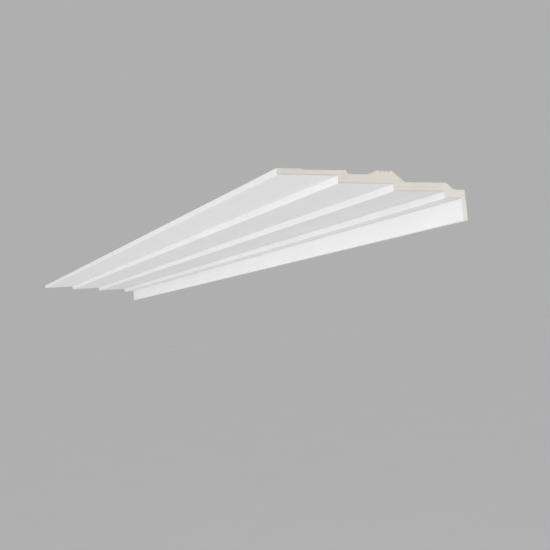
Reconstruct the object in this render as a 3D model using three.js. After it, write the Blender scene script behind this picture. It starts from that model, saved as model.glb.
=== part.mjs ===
// A length of stepped ceiling cornice, cast in one piece of rigid foam and cut square at both ends.
// The moulding runs along X. Its wall face is the plane y = 0, and its visible side looks down and to -Y.
// The origin is the middle of the wall face. Sizes are in millimetres.

import * as THREE from 'three';

// Visible side of the section
const length = 1180;          // from one cut end to the other
const stepCount = 3;          // risers between the rim and the ledge
const stepWidth = 64;         // soffit in front of each riser
const stepDrop = 7;           // height of each riser
const rimHeight = 6;          // front edge, below the ceiling face
const ledgeWidth = 22;        // narrow soffit between the last riser and the leg
const legThickness = 6;       // leg whose back is the wall face
const legDrop = 23;           // front of the leg, below the ledge
const edgeRadius = 0.6;       // rounding of the long edges

// Back of the section
const plateThickness = 9;     // foam above each soffit behind the first riser
const backPitch = 0.5;        // degrees by which the back's flats rise towards the wall face
const contactWidth = 26;      // flat strip behind the rim, the first of the ceiling faces
const reliefDepth = 0.8;      // hollow behind that strip
const coveSetback = 11;       // from the first riser to the small cove over it
const coveRadius = 2.8;
const rampRun = 8;            // slope from the second plate's back up to the glue pad
const rampRadius = 3;
const padWidth = 18;          // glue pad level with that strip, ending over the second riser
const grooveCount = 3;        // glue grooves in the pad
const groovePitch = 5;
const grooveWidth = 3.4;
const grooveDepth = 1.7;
const descentRun = 15;        // slope from the pad down to the third plate's back
const descentRadius = 8;
const ogeeRun = 17;           // S curve from the last plate's back down to the leg
const arcFacets = 4;          // flat facets that make up each rounding

// Worked out from the sizes above; heights count from the ceiling faces until the section is placed
const projection = stepCount * stepWidth + ledgeWidth + legThickness;
const soffit = (plate) => -rimHeight - plate * stepDrop;
const riser = (plate) => -projection + plate * stepWidth;
const back = (plate) => soffit(plate) + plateThickness;
const backRise = (run) => run * Math.tan(THREE.MathUtils.degToRad(backPitch));
const legFoot = soffit(stepCount) - legDrop;

// One corner of the outline: its place across the section, its height and its rounding
function corner(across, height, radius = 0) {
  return { at: new THREE.Vector2(across, height), radius };
}

// Round-bottomed grooves, evenly spaced about the middle of the pad
function gluePad(start, end) {
  const corners = [corner(start, 0, edgeRadius)];
  const firstGroove = (start + end - (grooveCount - 1) * groovePitch) / 2;
  for (let groove = 0; groove < grooveCount; groove += 1) {
    const middle = firstGroove + groove * groovePitch;
    corners.push(
      corner(middle - grooveWidth / 2, 0, edgeRadius),
      corner(middle, -grooveDepth, edgeRadius),
      corner(middle + grooveWidth / 2, 0, edgeRadius),
    );
  }
  corners.push(corner(end, 0, edgeRadius));
  return corners;
}

// An S of two equal arcs that runs from one level down to the next
function ogee(start, startHeight, endHeight) {
  const turn = 2 * Math.atan2(startHeight - endHeight, ogeeRun);
  const radius = ogeeRun / (2 * Math.sin(turn));
  const reach = radius * Math.tan(turn / 2);
  return [corner(start + reach, startHeight, radius), corner(start + ogeeRun - reach, endHeight, radius)];
}

// The hidden side, from the rim over the ceiling faces to the top of the wall face
function backCorners() {
  const stripEnd = -projection + contactWidth;
  const reliefStart = stripEnd + reliefDepth;
  const cove = riser(1) + coveSetback;
  const padStart = riser(2) - padWidth;
  const rampFoot = padStart - rampRun;
  const corners = [
    corner(-projection, 0, edgeRadius),
    corner(stripEnd, 0),
    corner(reliefStart, -reliefDepth),
    corner(cove, -reliefDepth + backRise(cove - reliefStart), edgeRadius),
    corner(cove, back(1), coveRadius),
    corner(rampFoot, back(1) + backRise(rampFoot - cove), rampRadius),
    ...gluePad(padStart, riser(2)),
  ];
  let height = 0;
  for (let plate = 2; plate < stepCount; plate += 1) {
    const descentFoot = riser(plate) + descentRun;
    corners.push(corner(descentFoot, back(plate), descentRadius));
    height = back(plate) + backRise(riser(plate + 1) - descentFoot);
  }
  const ogeeEnd = riser(stepCount) + ogeeRun;
  corners.push(...ogee(riser(stepCount), height, back(stepCount)));
  corners.push(corner(0, back(stepCount) + backRise(-ogeeEnd), edgeRadius));
  return corners;
}

// The visible side, from the foot of the wall face over the leg and the risers to the rim
function visibleCorners() {
  const corners = [
    corner(0, legFoot, edgeRadius),
    corner(-legThickness, legFoot, edgeRadius),
    corner(-legThickness, soffit(stepCount), edgeRadius),
  ];
  for (let plate = stepCount; plate > 0; plate -= 1) {
    corners.push(corner(riser(plate), soffit(plate), edgeRadius));
    corners.push(corner(riser(plate), soffit(plate - 1), edgeRadius));
  }
  corners.push(corner(-projection, soffit(0), edgeRadius));
  return corners;
}

// Straight sides with each corner rounded by an arc that touches both of its sides.
// A side too short for both of its roundings is shared between them in proportion.
function roundedOutline(corners) {
  const outline = new THREE.Shape();
  corners.forEach(({ at, radius }, i) => {
    if (radius === 0) {
      outline.lineTo(at.x, at.y);
      return;
    }
    const neighbours = [corners.at(i - 1), corners[(i + 1) % corners.length]];
    const sides = neighbours.map((neighbour) => neighbour.at.clone().sub(at));
    const shares = neighbours.map((neighbour, k) => sides[k].length() * radius / (radius + neighbour.radius));
    const [towardsLast, towardsNext] = sides.map((side) => side.normalize());
    const halfAngle = towardsLast.angleTo(towardsNext) / 2;
    const reach = Math.min(radius / Math.tan(halfAngle), ...shares);
    const middle = towardsLast.clone().add(towardsNext).setLength(reach / Math.cos(halfAngle)).add(at);
    const arcStart = towardsLast.clone().multiplyScalar(reach).add(at).sub(middle);
    const arcEnd = towardsNext.clone().multiplyScalar(reach).add(at).sub(middle);
    const clockwise = towardsLast.cross(towardsNext) > 0;
    outline.absarc(middle.x, middle.y, arcStart.length(), arcStart.angle(), arcEnd.angle(), clockwise);
  });
  return outline;
}

function corniceLength() {
  const outline = roundedOutline([...backCorners(), ...visibleCorners()]);
  const along = { depth: length, bevelEnabled: false, curveSegments: arcFacets / 2 };
  const geometry = new THREE.ExtrudeGeometry(outline, along);
  const whitePrimer = new THREE.MeshStandardMaterial({ color: 0xf1f2f4, roughness: 0.55, metalness: 0 });
  const mesh = new THREE.Mesh(geometry, whitePrimer);
  mesh.name = 'cornice_length';
  return mesh;
}

// The outline lies across (X) and up (Y) as it is drawn, so it is turned to stand across Y and Z
const wallFaceMiddle = (back(stepCount) + legFoot) / 2;
const moulding = corniceLength();
moulding.rotation.set(Math.PI / 2, Math.PI / 2, 0);
moulding.position.set(-length / 2, 0, -wallFaceMiddle);

const cornice = new THREE.Group();
cornice.add(moulding);

export default cornice;
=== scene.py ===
import math

import bmesh
import bpy
from mathutils import Matrix, Vector


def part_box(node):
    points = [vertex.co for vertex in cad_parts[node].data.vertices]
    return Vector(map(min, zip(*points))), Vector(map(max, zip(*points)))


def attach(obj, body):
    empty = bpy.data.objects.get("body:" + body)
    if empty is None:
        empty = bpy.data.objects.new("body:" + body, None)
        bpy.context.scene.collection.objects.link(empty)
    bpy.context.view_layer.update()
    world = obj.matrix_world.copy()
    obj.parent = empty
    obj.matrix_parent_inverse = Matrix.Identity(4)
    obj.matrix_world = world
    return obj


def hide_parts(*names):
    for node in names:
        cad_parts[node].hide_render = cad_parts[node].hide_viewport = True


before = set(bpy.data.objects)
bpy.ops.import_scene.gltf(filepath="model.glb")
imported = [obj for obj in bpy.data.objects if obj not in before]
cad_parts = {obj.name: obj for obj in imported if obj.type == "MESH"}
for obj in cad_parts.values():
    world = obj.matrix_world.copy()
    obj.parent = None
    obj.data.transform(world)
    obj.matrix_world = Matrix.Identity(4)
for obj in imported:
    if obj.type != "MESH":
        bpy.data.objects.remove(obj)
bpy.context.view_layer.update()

low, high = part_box("cornice_length")
print("frame loaded, moulding from", [round(v, 3) for v in low], "to", [round(v, 3) for v in high])


class Wire:  # a node's output whose arithmetic adds Math nodes
    def __init__(self, nodes, socket):
        self.nodes = nodes
        self.socket = socket

    def maths(self, operation, first, second):
        return self.nodes.add("ShaderNodeMath", {"operation": operation}, {0: first, 1: second})

    def __add__(self, other):
        return self.maths("ADD", self, other)

    __radd__ = __add__

    def __sub__(self, other):
        return self.maths("SUBTRACT", self, other)

    def __rsub__(self, other):
        return self.maths("SUBTRACT", other, self)

    def __mul__(self, other):
        return self.maths("MULTIPLY", self, other)

    __rmul__ = __mul__


class Nodes:  # the nodes of one material or of the world
    def __init__(self, owner, coordinates="Object"):
        owner.use_nodes = True
        self.tree = owner.node_tree
        self.tree.nodes.clear()
        self.spot = self.add("ShaderNodeTexCoord", output=coordinates)

    def add(self, kind, settings=None, values=None, output=0):
        node = self.tree.nodes.new(kind)
        for name, setting in (settings or {}).items():
            setattr(node, name, setting)
        for name, value in (values or {}).items():
            if isinstance(value, Wire):
                self.tree.links.new(value.socket, node.inputs[name])
            else:
                node.inputs[name].default_value = value
        return Wire(self, node.outputs[output] if node.outputs else None)

    def stretched(self, scale, turn=(0, 0, 0)):
        return self.add("ShaderNodeMapping", None, {"Vector": self.spot, "Scale": scale, "Rotation": turn})

    def axis(self, name):
        return self.add("ShaderNodeSeparateXYZ", None, {0: self.spot}, name)

    def looking(self, name, way):  # 1 on the faces that look that way along an axis, 0 on the rest
        normal = self.add("ShaderNodeNewGeometry", output="Normal")
        along = self.add("ShaderNodeSeparateXYZ", None, {0: normal}, name)
        return self.ease(along, 0.4 * way, 0.9 * way)

    def noise(self, size, detail, rough=0.5, spot=None):
        values = {"Vector": spot or self.spot, "Scale": 1 / size, "Detail": detail, "Roughness": rough}
        return self.add("ShaderNodeTexNoise", {"noise_dimensions": "3D"}, values, "Fac")

    def cells(self, size, output="Distance"):
        values = {"Vector": self.spot, "Scale": 1 / size}
        return self.add("ShaderNodeTexVoronoi", {"feature": "F1"}, values, output)

    def contrast(self, pattern):  # a noise hardly leaves 0.3 to 0.7, so that is spread over 0 to 1
        return self.ease(pattern, 0.3, 0.7)

    def bubbles(self, size, radius, share):  # round spots with soft edges, in that share of the cells
        lot = self.add("ShaderNodeSeparateColor", None, {0: self.cells(size, "Color")})
        chosen = self.ease(lot, 1 - share, 1.01 - share)
        return self.ease(self.cells(size), 1.15 * radius / size, 0.75 * radius / size) * chosen

    def painted(self, name):  # a value that the mesh carries
        return self.add("ShaderNodeAttribute", {"attribute_name": name}, None, "Fac")

    def ease(self, value, start, end):  # 0 at start and 1 at end
        values = {"Value": value, "From Min": start, "From Max": end}
        return self.add("ShaderNodeMapRange", {"interpolation_type": "SMOOTHSTEP"}, values)

    def mix(self, share, first, second):  # two colours: a Mix node takes them at 6 and 7 and gives one at 2
        settings = {"data_type": "RGBA", "clamp_factor": True}
        return self.add("ShaderNodeMix", settings, {0: share, 6: first, 7: second}, 2)

    def bump(self, height):  # height in metres
        return self.add("ShaderNodeBump", None, {"Height": height, "Distance": 1})


def surface(name, build):  # a material; build gives what goes into its shader's sockets
    material = bpy.data.materials.new(name)
    nodes = Nodes(material)
    shader = nodes.add("ShaderNodeBsdfPrincipled", None, build(nodes))
    nodes.add("ShaderNodeOutputMaterial", None, {"Surface": shader})
    return material


def grey(level, blue=0.0):  # a grey, or one that leans a little towards blue
    return (level, level, level * (1 + blue), 1)


# The moulding. Its steps are counted from the rim inwards and stand below the ceiling face.
moulding = {
    "stepCount": 3,
    "stepWidth": 0.064,
    "stepDrop": 0.007,
    "rimHeight": 0.006,
    "legThickness": 0.006,
    "edgeRadius": 0.0006,
    "edgeSteps": 5,              # facets of a rounded edge, and of the larger curves
    "curveSteps": 12,
    "plateThickness": 0.009,
    "backPitch": 0.5,            # degrees
    "contactWidth": 0.026,
    "reliefDepth": 0.0008,
    "coveSetback": 0.011,
    "coveRadius": 0.0028,
    "rampRun": 0.008,
    "rampRadius": 0.003,
    "padWidth": 0.018,
    "grooveCount": 3,
    "groovePitch": 0.005,
    "grooveWidth": 0.0034,
    "grooveDepth": 0.0017,
    "descentRun": 0.015,
    "descentRadius": 0.008,
    "ogeeRun": 0.017,
    "edgeMarkWidth": 0.0008,         # strip beside each rounding, over which its painted highlight or painted shade fades
    "shadeWidth": 0.016,         # the same on the soffit side of a corner, for its painted shade
    "coatDepth": 0.00016,        # primer, and then dense skin, seen round a cut end
    "skinDepth": 0.00038,
    "lengthCuts": 47,
    "backTilt": 0.35,            # a face that looks up or back by more than this share is unpainted
    "samePoint": 0.00001,        # points closer than this are one
}
primerIndex, sawnIndex, skinIndex = range(3)  # the order of its materials


def soffit(plate):
    return high.z - moulding["rimHeight"] - plate * moulding["stepDrop"]


def riser(plate):
    return low.y + plate * moulding["stepWidth"]


def back(plate):
    return soffit(plate) + moulding["plateThickness"]


def legFront():
    return high.y - moulding["legThickness"]


def rise(run):  # of the back's flats towards the wall face
    return run * math.tan(math.radians(moulding["backPitch"]))


# A corner of the section is its place across, its height and its rounding
def gluePad(start, end):  # level with the contact strip, with its grooves about its middle
    ceilingFace = high.z
    rounding = moulding["edgeRadius"]
    halfGroove = moulding["grooveWidth"] / 2
    corners = [(start, ceilingFace, rounding)]
    first = (start + end - (moulding["grooveCount"] - 1) * moulding["groovePitch"]) / 2
    for groove in range(moulding["grooveCount"]):
        middle = first + groove * moulding["groovePitch"]
        corners.append((middle - halfGroove, ceilingFace, rounding))
        corners.append((middle, ceilingFace - moulding["grooveDepth"], rounding))
        corners.append((middle + halfGroove, ceilingFace, rounding))
    return corners + [(end, ceilingFace, rounding)]


def ogee(start, top, foot):  # an S of two equal arcs
    run = moulding["ogeeRun"]
    turn = 2 * math.atan2(top - foot, run)
    radius = run / (2 * math.sin(turn))
    reach = radius * math.tan(turn / 2)
    return [(start + reach, top, radius), (start + run - reach, foot, radius)]


def backCorners():  # the hidden side, from the rim over the back to the top of the wall face
    ceilingFace = high.z
    rounding = moulding["edgeRadius"]
    last = moulding["stepCount"]
    stripEnd = low.y + moulding["contactWidth"]
    reliefStart = stripEnd + moulding["reliefDepth"]
    relief = ceilingFace - moulding["reliefDepth"]
    cove = riser(1) + moulding["coveSetback"]
    padStart = riser(2) - moulding["padWidth"]
    rampFoot = padStart - moulding["rampRun"]
    corners = [
        (low.y, ceilingFace, rounding),
        (stripEnd, ceilingFace, 0),
        (reliefStart, relief, 0),
        (cove, relief + rise(cove - reliefStart), rounding),
        (cove, back(1), moulding["coveRadius"]),
        (rampFoot, back(1) + rise(rampFoot - cove), moulding["rampRadius"]),
        *gluePad(padStart, riser(2)),
    ]
    for plate in range(2, last):
        descentFoot = riser(plate) + moulding["descentRun"]
        corners.append((descentFoot, back(plate), moulding["descentRadius"]))
        top = back(plate) + rise(riser(plate + 1) - descentFoot)
    corners += ogee(riser(last), top, back(last))
    ogeeEnd = riser(last) + moulding["ogeeRun"]
    return corners + [(high.y, back(last) + rise(high.y - ogeeEnd), rounding)]


def visibleCorners():  # the visible side, from the foot of the wall face to the rim
    rounding = moulding["edgeRadius"]
    last = moulding["stepCount"]
    corners = [
        (high.y, low.z, rounding),
        (legFront(), low.z, rounding),
        (legFront(), soffit(last), rounding),
    ]
    for plate in range(last, 0, -1):
        corners.append((riser(plate), soffit(plate), rounding))
        corners.append((riser(plate), soffit(plate - 1), rounding))
    return corners + [(low.y, soffit(0), rounding)]


# How far a corner's rounding runs along its two sides. A side too short for both of its
# roundings is shared between them in proportion.
def reachOf(corners, i):
    spots = [Vector(corner[:2]) for corner in corners]
    radius = corners[i][2]
    reaches = []
    sides = []
    for neighbour in (i - 1, (i + 1) % len(corners)):
        side = spots[neighbour] - spots[i]
        sides.append(side)
        reaches.append(side.length * radius / (radius + corners[neighbour][2]))
    return min(radius / math.tan(sides[0].angle(sides[1]) / 2), *reaches)


def bendsInwards(corners, i):  # true where the section is hollow at that corner
    before, here, after = (Vector(corners[k % len(corners)][:2]) for k in (i - 1, i, i + 1))
    return (here - before).cross(after - here) > 0


def drawSection(bm):  # the rounded section as one face, with the points of its roundings by kind
    corners = backCorners() + visibleCorners()
    spots = [bm.verts.new((low.x, y, z)) for y, z, radius in corners]
    bm.faces.new(spots)
    rounded = {"arris": [], "valley": []}
    for i, spot in enumerate(spots):
        radius = corners[i][2]
        if radius:
            bevelled = bmesh.ops.bevel(
                bm, geom=[spot], offset=reachOf(corners, i), offset_type="OFFSET", affect="VERTICES",
                segments=moulding["curveSteps" if radius > moulding["edgeRadius"] else "edgeSteps"],
                profile=0.5, material=-1)
            rounded["valley" if bendsInwards(corners, i) else "arris"] += bevelled["verts"]
    for edge in bm.edges[:]:  # a strip beside each rounding, over which its mark fades
        ends = edge.verts[:]
        level = abs(ends[0].co.z - ends[1].co.z) < moulding["samePoint"]
        kinds = ["shadeWidth" if level and end in rounded["valley"] else "edgeMarkWidth" for end in ends]
        widths = [moulding[kind] for kind in kinds]
        if edge.calc_length() > 1.1 * sum(widths):  # both strips fit
            strip = bmesh.utils.edge_split(edge, ends[0], widths[0] / edge.calc_length())[0]
            rest = strip if ends[1] in strip.verts else edge
            bmesh.utils.edge_split(rest, ends[1], widths[1] / rest.calc_length())
    return rounded


def drawOut(bm):  # the section run out to the whole length; gives its two cut ends
    grown = bmesh.ops.extrude_face_region(bm, geom=bm.faces[:])["geom"]
    moved = [part for part in grown if isinstance(part, bmesh.types.BMVert)]
    bmesh.ops.translate(bm, verts=moved, vec=(high.x - low.x, 0, 0))
    bmesh.ops.recalc_face_normals(bm, faces=bm.faces)
    ends = [face for face in bm.faces if abs(face.normal.x) > 0.9]
    along = [edge for edge in bm.edges if abs(edge.verts[0].co.x - edge.verts[1].co.x) > 0.001]
    bmesh.ops.subdivide_edges(bm, edges=along, cuts=moulding["lengthCuts"])
    return ends


def borderEnd(bm, end, skinMark):  # the coat and the foam's dense skin, seen as thin borders on a cut end
    for edge in end.edges:
        edge.smooth = False
    coat = bmesh.ops.inset_region(bm, faces=[end], thickness=moulding["coatDepth"], use_even_offset=True)
    for face in coat["faces"]:
        sides = [side for edge in face.edges for side in edge.link_faces if abs(side.normal.x) < 0.5]
        face.material_index = sides[0].material_index
    skin = bmesh.ops.inset_region(bm, faces=[end], thickness=moulding["skinDepth"], use_even_offset=True)
    for face in [end, *skin["faces"]]:
        face.material_index = sawnIndex
    for vert in end.verts:
        vert[skinMark] = 0


def buildMoulding():
    bm = bmesh.new()
    marks = {name: bm.verts.layers.float.new(name) for name in ("arris", "valley", "skin")}
    for name, verts in drawSection(bm).items():
        for vert in verts:
            vert[marks[name]] = 1
    bmesh.ops.remove_doubles(bm, verts=bm.verts, dist=moulding["samePoint"])  # where two roundings meet
    print("section drawn with", len(bm.verts), "points")
    ends = drawOut(bm)
    for face in bm.faces:
        face.smooth = True
        unpainted = max(face.normal.y, face.normal.z) > moulding["backTilt"]
        face.material_index = skinIndex if unpainted else primerIndex
    for vert in bm.verts:
        vert[marks["skin"]] = 1
    for end in ends:
        borderEnd(bm, end, marks["skin"])
    mesh = bpy.data.meshes.new("cornice_moulding")
    bm.to_mesh(mesh)
    bm.free()
    return mesh


def stepsInwards(nodes):  # how many risers stand between a point and the rim
    steps = (nodes.axis("Y") - low.y) * (1 / moulding["stepWidth"])
    return nodes.add("ShaderNodeMath", {"operation": "FLOOR"}, {0: steps})


def overSoffit(nodes):  # height of a point over the soffit below it
    return nodes.axis("Z") - soffit(0) + stepsInwards(nodes) * moulding["stepDrop"]


# White primer on the whole visible side, with painted shade on the soffits, deeper with each step inwards
# and in the corners
primer = {
    "thick": grey(0.92, 0.008),
    "thin": grey(0.872, 0.008),
    "paintedShade": grey(0.60, 0.016), # painted shade, the tone that the soffits go towards
    "stepShade": 0.16,            # how far the soffits go towards the painted shade with each step inwards
    "cornerShade": 0.3,           # and further in the corners above the risers and the leg
    "legBlend": 0.001,           # over which that ends at the leg
    "arrisHighlight": 0.5,           # painted highlight: how far the outer edges go towards the thick coat's lighter tone
    "roughness": (0.5, 0.62),    # where the coat is thick and where it is thin
    "cloudSize": 0.11,
    "streakSize": 0.012,
    "streakScale": (0.05, 1, 1), # along X, Y and Z, so that the streaks run along the moulding
    "streakShare": 0.4,          # beside the clouds, in the coat's unevenness
    "peelSize": 0.0018,
    "peelHeight": 0.00006,
    "peelRoughness": 0.04,       # that the peel adds
    "nibs": (0.011, 0.0003, 0.2),   # specks of dust under the coat: size of the cells, radius and share
    "nibHeight": 0.00008,
    "waveSize": 0.05,
    "waveScale": (0.25, 1, 1),
    "waveHeight": 0.0002,
    "ior": 1.46,
}


def whitePrimer(nodes):
    cloud = nodes.noise(primer["cloudSize"], detail=3)
    alongX = nodes.stretched(primer["streakScale"])
    streak = nodes.noise(primer["streakSize"], detail=4, rough=0.6, spot=alongX)
    peel = nodes.noise(primer["peelSize"], detail=2)
    lengthened = nodes.stretched(primer["waveScale"])
    wave = nodes.noise(primer["waveSize"], detail=1, rough=0.4, spot=lengthened)
    coat = nodes.contrast(cloud * (1 - primer["streakShare"]) + streak * primer["streakShare"])
    body = nodes.mix(coat, primer["thin"], primer["thick"])
    # painted highlight on the outer edges
    highlightedEdge = nodes.mix(nodes.painted("arris") * primer["arrisHighlight"], body, primer["thick"])
    beforeLeg = nodes.ease(nodes.axis("Y"), legFront() + primer["legBlend"], legFront())
    # painted shade on the soffits, deeper with each step inwards and in the corners
    corners = nodes.painted("valley") * primer["cornerShade"]
    shadeShare = stepsInwards(nodes) * primer["stepShade"] + corners
    soffitShade = nodes.looking("Z", -1) * beforeLeg * shadeShare
    skim = peel * primer["peelHeight"] + nodes.bubbles(*primer["nibs"]) * primer["nibHeight"]
    height = skim + wave * primer["waveHeight"]
    smooth, rough = primer["roughness"]
    return {
        "Base Color": nodes.mix(soffitShade, highlightedEdge, primer["paintedShade"]),
        "Roughness": rough - (rough - smooth) * coat + peel * primer["peelRoughness"],
        "Normal": nodes.bump(height),
        "IOR": primer["ior"],
    }


# Foam where the saw went through, with its denser skin round the edge, painted lighter towards the leg and
# with painted shade along its lower edges
cutFoam = {
    "light": (0.77, 0.735, 0.68, 1),
    "deep": (0.70, 0.66, 0.60, 1),
    # pale and palest are painted light: the cut end is lighter away from the rim and palest towards the leg
    "pale": (0.83, 0.756, 0.68, 1),
    "paleShare": 0.5,            # painted light: how far the cut end turns pale away from the rim
    "paleRun": (0.03, 0.13),     # from the rim, where that starts and where it is reached
    "palest": (0.845, 0.82, 0.76, 1),
    "palestShare": 0.45,         # how much of that painted light the foam has above the ledge
    "palestRun": (0.045, 0.025), # from the wall face, where that starts and where it is reached
    "legRun": (0.022, 0.032),    # below the ceiling face, where the leg starts to be palest and is
    "skin": (0.60, 0.55, 0.475, 1),
    "skinShare": 0.8,
    "hollow": (0.50, 0.45, 0.38, 1),    # painted shade inside a bubble
    "edgeShade": (0.50, 0.47, 0.43, 1),   # painted shade along the cut end's lower edges
    "edgeShadeShare": 0.7,
    "edgeShadeRun": (0.0016, 0.0002),     # above the soffit, where it ends and where it is full
    "legBlend": 0.001,           # over which it ends at the leg
    "mottleSize": 0.014,
    "cellSize": 0.0006,
    "cellShare": 0.4,            # beside the mottle, in the foam's tone
    "cellHeight": 0.00012,
    "bubbles": (0.0045, 0.00035, 0.2),  # size of the cells, radius and share
    "bubbleShade": 0.5,           # how far a bubble goes towards the painted shade
    "bubbleDepth": 0.0002,
    "sawPitch": 0.0011,
    "sawRun": 0.125,             # how far a mark of the saw runs
    "sawLean": 8,                # degrees from upright
    "sawHeight": 0.00006,
    "roughness": 0.82,
    "sawRoughness": 0.12,        # that the saw's marks add
    "ior": 1.4,
}


def sawnFoam(nodes):
    mottle = nodes.noise(cutFoam["mottleSize"], detail=4, rough=0.6)
    cell = nodes.cells(cutFoam["cellSize"])
    bubble = nodes.bubbles(*cutFoam["bubbles"])
    lean = (math.radians(cutFoam["sawLean"]), 0, 0)
    marks = nodes.stretched((1, 1 / cutFoam["sawPitch"], 1 / cutFoam["sawRun"]), lean)
    saw = nodes.noise(1, detail=3, rough=0.6, spot=marks)
    blotch = nodes.contrast(mottle) * (1 - cutFoam["cellShare"])
    tone = blotch + nodes.ease(cell, 0.1, 0.6) * cutFoam["cellShare"]
    foam = nodes.mix(tone, cutFoam["deep"], cutFoam["light"])
    fromRim = nodes.axis("Y") - low.y
    fromWallFace = high.y - nodes.axis("Y")
    belowCeilingFace = high.z - nodes.axis("Z")
    # painted light: the cut end paler away from the rim and palest near the leg
    thick = nodes.ease(fromRim, *cutFoam["paleRun"]) * cutFoam["paleShare"]
    leg = nodes.ease(belowCeilingFace, *cutFoam["legRun"]) * (1 - cutFoam["palestShare"])
    litNearLeg = nodes.ease(fromWallFace, *cutFoam["palestRun"]) * (leg + cutFoam["palestShare"])
    paintedLighter = nodes.mix(litNearLeg, nodes.mix(thick, foam, cutFoam["pale"]), cutFoam["palest"])
    # painted shade inside the bubbles
    pitted = nodes.mix(bubble * cutFoam["bubbleShade"], paintedLighter, cutFoam["hollow"])
    beforeLeg = nodes.ease(nodes.axis("Y"), legFront(), legFront() - cutFoam["legBlend"])
    # painted shade along the lower edges of the cut end
    lowerEdge = nodes.ease(overSoffit(nodes), *cutFoam["edgeShadeRun"])
    edgeShade = lowerEdge * beforeLeg * cutFoam["edgeShadeShare"]
    sawn = nodes.mix(edgeShade, pitted, cutFoam["edgeShade"])
    grain = saw * cutFoam["sawHeight"] + cell * cutFoam["cellHeight"]
    height = grain - bubble * cutFoam["bubbleDepth"]
    return {
        "Base Color": nodes.mix(nodes.painted("skin") * cutFoam["skinShare"], sawn, cutFoam["skin"]),
        "Roughness": cutFoam["roughness"] + saw * cutFoam["sawRoughness"],
        "Normal": nodes.bump(height),
        "IOR": cutFoam["ior"],
    }


# Moulded foam skin on the back, with primer that has drifted round the two long edges, and painted shade in
# its pits
backSkin = {
    "light": (0.77, 0.735, 0.67, 1),
    "deep": (0.725, 0.688, 0.617, 1),
    "stain": (0.64, 0.59, 0.50, 1),
    "spray": grey(0.84, 0.008),
    "rimSpray": (0.021, 0.009),  # from the rim, where the drifted primer ends and where it is full
    "footSpray": (0.018, 0.007), # the same up the wall face from its foot
    "ragged": 0.016,             # how far its border wanders
    "flowSize": 0.03,
    "flowHeight": 0.0004,
    "flowRoughness": 0.16,       # that the flow adds
    "stainSize": 0.09,
    "stainRun": (0.5, 0.75),     # of its noise, where a stain starts and where it is full
    "stainShare": 0.4,
    "grainSize": 0.0013,
    "grainHeight": 0.00005,
    "bubbles": (0.007, 0.00055, 0.22),  # size of the cells, radius and share
    "bubbleShade": 0.45,          # how far a bubble goes towards the painted shade
    "bubbleDepth": 0.0004,
    "pins": (0.0026, 0.0002, 0.3),
    "pinShade": 0.4,
    "pinDepth": 0.0001,
    "roughness": 0.62,
    "ior": 1.42,
}


def mouldedSkin(nodes):
    flow = nodes.noise(backSkin["flowSize"], detail=5, rough=0.6)
    stain = nodes.ease(nodes.noise(backSkin["stainSize"], detail=3), *backSkin["stainRun"])
    grain = nodes.noise(backSkin["grainSize"], detail=2)
    bubble = nodes.bubbles(*backSkin["bubbles"])
    pin = nodes.bubbles(*backSkin["pins"])
    ragged = (grain + flow) * (backSkin["ragged"] / 2)
    rimSpray = nodes.ease(nodes.axis("Y") - low.y + ragged, *backSkin["rimSpray"])
    upTheWallFace = nodes.ease(nodes.axis("Z") - low.z + ragged, *backSkin["footSpray"])
    footSpray = upTheWallFace * nodes.looking("Y", 1)
    body = nodes.mix(nodes.contrast(flow), backSkin["deep"], backSkin["light"])
    stained = nodes.mix(stain * backSkin["stainShare"], body, backSkin["stain"])
    # painted shade inside the bubbles and pinholes
    pitShading = bubble * backSkin["bubbleShade"] + pin * backSkin["pinShade"]
    pitted = nodes.mix(pitShading, stained, cutFoam["hollow"])
    swell = grain * backSkin["grainHeight"] + flow * backSkin["flowHeight"]
    height = swell - bubble * backSkin["bubbleDepth"] - pin * backSkin["pinDepth"]
    return {
        "Base Color": nodes.mix(rimSpray + footSpray, pitted, backSkin["spray"]),
        "Roughness": backSkin["roughness"] + flow * backSkin["flowRoughness"],
        "Normal": nodes.bump(height),
        "IOR": backSkin["ior"],
    }


mesh = buildMoulding()
mesh.materials.append(surface("white_primer", whitePrimer))  # in the order that the indices give
mesh.materials.append(surface("sawn_foam", sawnFoam))
mesh.materials.append(surface("moulded_foam_skin", mouldedSkin))
cornice = bpy.data.objects.new("cornice_moulding", mesh)
bpy.context.scene.collection.objects.link(cornice)
flats = cornice.modifiers.new("flats stay flat", "WEIGHTED_NORMAL")
flats.mode = "FACE_AREA"
flats.keep_sharp = True
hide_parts("cornice_length")
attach(cornice, "root")
print("moulding built with", len(mesh.polygons), "faces")


# A plain pale floor well below the moulding, and a sky that meets it in one tone
studio = {
    "floorDrop": 5,
    "floorRadius": 190,
    "floorTones": (grey(0.864), grey(0.886)),
    "floorDrift": 1.6,           # size of the patches in which its tone changes
    "floorRoughness": 0.9,
    "horizon": grey(0.43),
    "zenith": grey(0.55),
    "skyRise": (0.45, 0.95),     # where the sky leaves the horizon's tone and where it has the zenith's
    "boxes": {                   # soft boxes aimed at the moulding: place, size and watts
        "front": ((0.9, -3.8, -0.42), 2.4, 54),
        "below": ((0.5, -1.1, -3.2), 2.6, 31.5),
        "sawn_end": ((4.0, -0.5, 0.2), 2.2, 52),
        "overhead": ((-0.8, 1.0, 3.4), 2.6, 48),
        "behind": ((-2.2, 3.6, 1.2), 2.4, 54),
    },
}


def paleFloor(nodes):
    drift = nodes.noise(studio["floorDrift"], detail=3)
    tone = nodes.mix(drift, *studio["floorTones"])
    return {"Base Color": tone, "Roughness": studio["floorRoughness"]}


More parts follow.
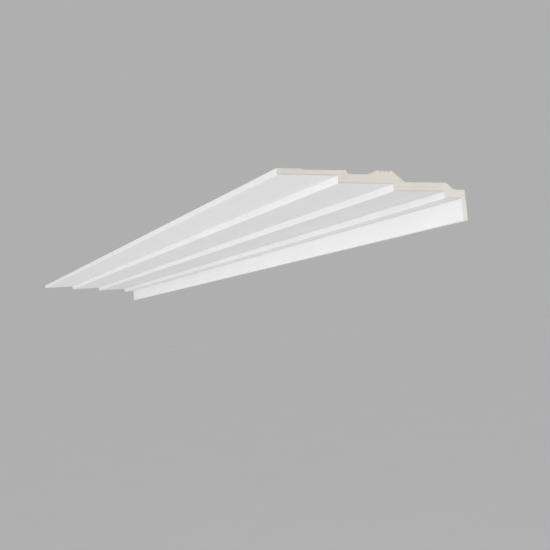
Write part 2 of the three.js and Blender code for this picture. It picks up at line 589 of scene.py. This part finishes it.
def layFloor():
    bm = bmesh.new()
    bmesh.ops.create_circle(bm, cap_ends=True, segments=96, radius=studio["floorRadius"])
    bmesh.ops.translate(bm, verts=bm.verts, vec=(0, 0, -studio["floorDrop"]))
    mesh = bpy.data.meshes.new("floor")
    bm.to_mesh(mesh)
    bm.free()
    mesh.materials.append(surface("pale_floor", paleFloor))
    floor = bpy.data.objects.new("floor", mesh)
    bpy.context.scene.collection.objects.link(floor)


def fillSky():
    world = bpy.data.worlds.new("studio")
    bpy.context.scene.world = world
    nodes = Nodes(world, "Generated")
    height = nodes.ease(nodes.axis("Z"), *studio["skyRise"])
    tone = nodes.mix(height, studio["horizon"], studio["zenith"])
    sky = nodes.add("ShaderNodeBackground", None, {"Color": tone})
    nodes.add("ShaderNodeOutputWorld", None, {"Surface": sky})


def hangBoxes():
    middle = (low + high) / 2
    for name, (place, size, watts) in studio["boxes"].items():
        light = bpy.data.lights.new(name, "AREA")
        light.size = size
        light.energy = watts
        box = bpy.data.objects.new(name, light)
        bpy.context.scene.collection.objects.link(box)
        box.location = place
        box.rotation_euler = (middle - box.location).to_track_quat("-Z", "Y").to_euler()
        box.visible_camera = False


layFloor()
fillSky()
hangBoxes()
print("studio lit")


# The camera looks along the moulding from below its sawn end. Angles are in degrees.
shot = {
    "place": (1.107, -0.511, -0.0984),
    "heading": 61.58,            # from +Y towards -X
    "tilt": 3.70,                # upwards
    "roll": -5.43,
    "lens": 44.59,
}


def setCamera():
    lens = bpy.data.cameras.new("camera")
    lens.lens = shot["lens"]
    camera = bpy.data.objects.new("camera", lens)
    bpy.context.scene.collection.objects.link(camera)
    turns = [(shot["heading"], "Z"), (90 + shot["tilt"], "X"), (shot["roll"], "Z")]
    camera.matrix_world = Matrix.Translation(shot["place"])
    for angle, axis in turns:
        camera.matrix_world = camera.matrix_world @ Matrix.Rotation(math.radians(angle), 4, axis)
    bpy.context.scene.camera = camera
    bpy.context.scene.view_settings.view_transform = "Standard"


setCamera()
